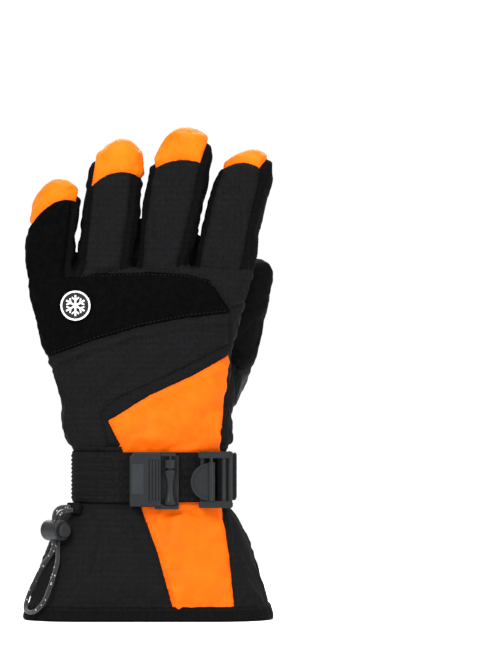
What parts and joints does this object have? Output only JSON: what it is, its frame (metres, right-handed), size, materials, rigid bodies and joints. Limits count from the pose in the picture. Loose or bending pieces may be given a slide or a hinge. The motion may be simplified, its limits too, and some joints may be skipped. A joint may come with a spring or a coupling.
{
  "type": "ski glove",
  "caption": "Insulated left-hand ski glove with gauntlet cuff, webbing wrist strap and buckle, orange back panel and fingertips, and a wrist cord with a lock.",
  "frame": {"origin": "centre of the cuff's opening, on the plane that the hem stands on", "axes": "+Z to the fingertips, -Y out of the back of the hand, +Y out of the palm, +X to the thumb's side; the glove stands upright on its hem"},
  "size_m": [0.1526, 0.1009, 0.2966],
  "materials": {
    "woven_charcoal": "matte",
    "smooth_black": "matte",
    "suede_black": "matte",
    "palm_leather": "satin",
    "orange_coated": "satin",
    "orange_tip": "satin",
    "padding_white": "matte",
    "lining_fleece": "matte",
    "binding_tape": "matte",
    "elastic_band": "matte",
    "webbing": "matte",
    "buckle_plastic": "satin",
    "window_plastic": "gloss",
    "cord_elastic": "matte",
    "spring_steel": "polished",
    "badge_rubber": "matte"
  },
  "bodies": {
    "hand_and_cuff": {"badge": "badge_rubber", "buckle_housing": "buckle_plastic", "buckle_window": "window_plastic", "cord_lock_body": "buckle_plastic", "cord_lock_spring": "spring_steel", "cuff_back": "woven_charcoal", "cuff_lining": "lining_fleece", "cuff_padding": "padding_white", "cuff_palm": "woven_charcoal", "elastic_cord": "cord_elastic", "finger_base_band": "woven_charcoal", "gauntlet_panel": "orange_coated", "gauntlet_trim": "woven_charcoal", "hand_insulation_back": "padding_white", "hand_insulation_palm": "padding_white", "hand_lining": "lining_fleece", "hem_binding": "binding_tape", "knuckle_panel": "suede_black", "ladder_lock_frame": "buckle_plastic", "leash_tab": "webbing", "mid_panel": "woven_charcoal", "palm_lower_panel": "palm_leather", "palm_upper_panel": "palm_leather", "radial_side_panel": "smooth_black", "strap_loop": "webbing", "strap_webbing": "webbing", "thumb_gusset": "smooth_black", "wrist_elastic": "elastic_band"},
    "index_finger": {"index_cap": "orange_tip", "index_back_panel": "woven_charcoal", "index_palm_panel": "palm_leather", "index_side_walls": "smooth_black", "index_insulation": "padding_white", "index_lining": "lining_fleece"},
    "middle_finger": {"middle_cap": "orange_tip", "middle_back_panel": "woven_charcoal", "middle_palm_panel": "palm_leather", "middle_side_walls": "smooth_black", "middle_insulation": "padding_white", "middle_lining": "lining_fleece"},
    "ring_finger": {"ring_cap": "orange_tip", "ring_back_panel": "woven_charcoal", "ring_palm_panel": "palm_leather", "ring_side_walls": "smooth_black", "ring_insulation": "padding_white", "ring_lining": "lining_fleece"},
    "pinky_finger": {"pinky_cap": "orange_tip", "pinky_back_panel": "suede_black", "pinky_palm_panel": "palm_leather", "pinky_side_walls": "smooth_black", "pinky_insulation": "padding_white", "pinky_lining": "lining_fleece"},
    "thumb": {"thumb_back_panel": "smooth_black", "thumb_palm_panel": "palm_leather", "thumb_insulation": "padding_white", "thumb_lining": "lining_fleece"},
    "lift_tab": {"lift_tab": "buckle_plastic"},
    "latch_lever": {"latch_lever": "buckle_plastic"},
    "cord_lock_plunger": {"cord_lock_plunger": "buckle_plastic"}
  },
  "joints": [
    {"name": "index_flex", "type": "hinge", "parent": "hand_and_cuff", "child": "index_finger", "pos_m": [0.0464, 0, 0.219], "axis": [-1, 0, 0], "range_deg": [0, 55], "stiffness_Nm_per_rad": 0.3},
    {"name": "middle_flex", "type": "hinge", "parent": "hand_and_cuff", "child": "middle_finger", "pos_m": [0.009, 0, 0.219], "axis": [-1, 0, 0], "range_deg": [0, 55], "stiffness_Nm_per_rad": 0.3},
    {"name": "ring_flex", "type": "hinge", "parent": "hand_and_cuff", "child": "ring_finger", "pos_m": [-0.0265, 0, 0.218], "axis": [-1, 0, 0], "range_deg": [0, 55], "stiffness_Nm_per_rad": 0.3},
    {"name": "pinky_flex", "type": "hinge", "parent": "hand_and_cuff", "child": "pinky_finger", "pos_m": [-0.059, 0, 0.212], "axis": [-1, 0, 0], "range_deg": [0, 55], "stiffness_Nm_per_rad": 0.2},
    {"name": "thumb_swing", "type": "hinge", "parent": "hand_and_cuff", "child": "thumb", "pos_m": [0.0455, 0.0385, 0.15], "axis": [-1, 0, 0], "range_deg": [0, 40], "stiffness_Nm_per_rad": 0.3},
    {"name": "lift_tab_hinge", "type": "hinge", "parent": "hand_and_cuff", "child": "lift_tab", "pos_m": [0.0386, -0.0376, 0.0832], "axis": [0, 0, 1], "range_deg": [0, 70]},
    {"name": "latch_lever_hinge", "type": "hinge", "parent": "hand_and_cuff", "child": "latch_lever", "pos_m": [0.0141, -0.0358, 0.083], "axis": [0, 0, 1], "range_deg": [0, 20], "stiffness_Nm_per_rad": 0.02},
    {"name": "cord_lock_press", "type": "slide", "parent": "hand_and_cuff", "child": "cord_lock_plunger", "axis": [-0.6428, 0.766, 0], "range_m": [0, 0.002], "stiffness_N_per_m": 250, "deforming": ["cord_lock_spring"]}
  ]
}
